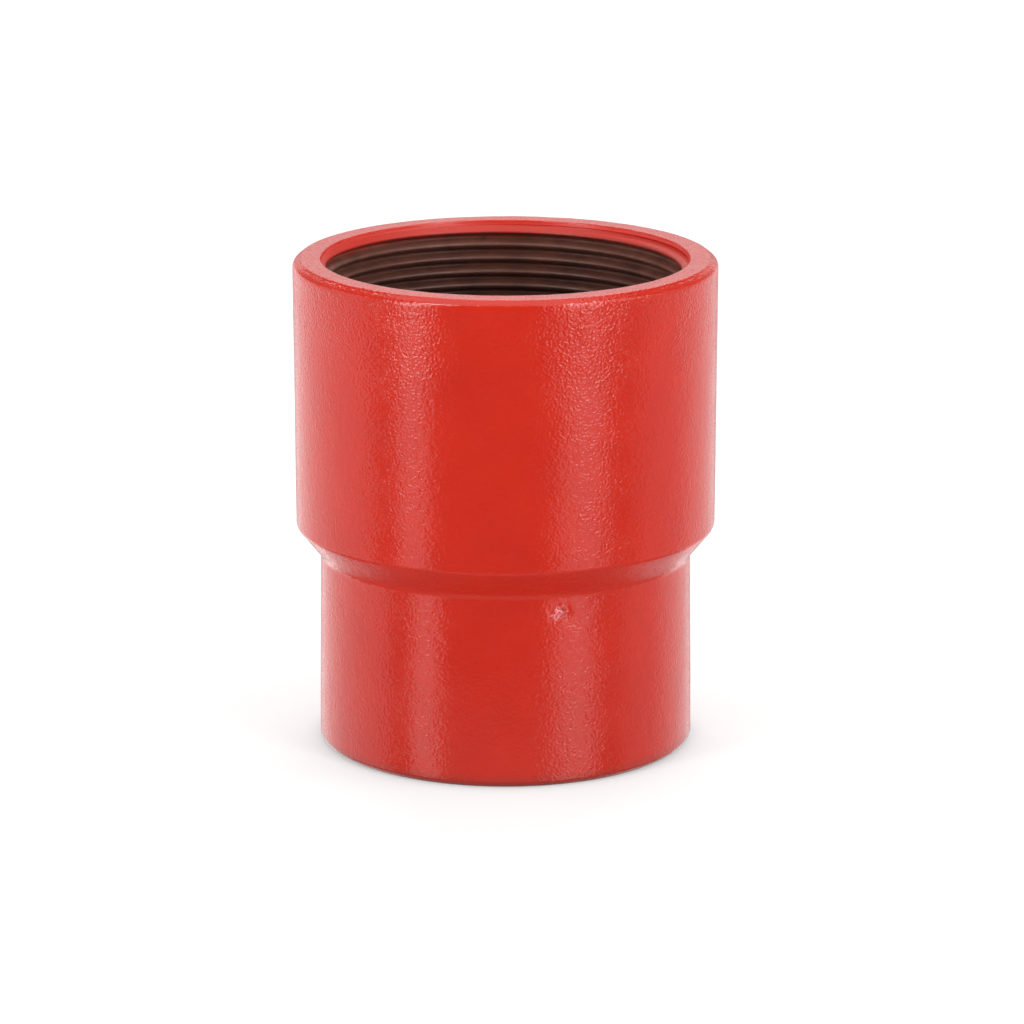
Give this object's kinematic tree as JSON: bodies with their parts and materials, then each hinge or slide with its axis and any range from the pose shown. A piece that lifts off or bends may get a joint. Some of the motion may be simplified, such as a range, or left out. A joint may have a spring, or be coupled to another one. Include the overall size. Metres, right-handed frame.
{
  "type": "reducing socket",
  "caption": "Red painted cast iron reducing socket: a stepped sleeve with a large internal pipe thread at one end and a smaller one at the other.",
  "frame": {"origin": "centre of the small end's face, on the surface that the socket stands on", "axes": "+Z along the common axis of the two threads, from the small end to the large end; X and Y are free, because the socket is a body of revolution"},
  "size_m": [0.0684, 0.0684, 0.0798],
  "materials": {
    "red_painted_iron": "gloss"
  },
  "bodies": {
    "root": {"reducing_socket": "red_painted_iron"}
  },
  "joints": []
}
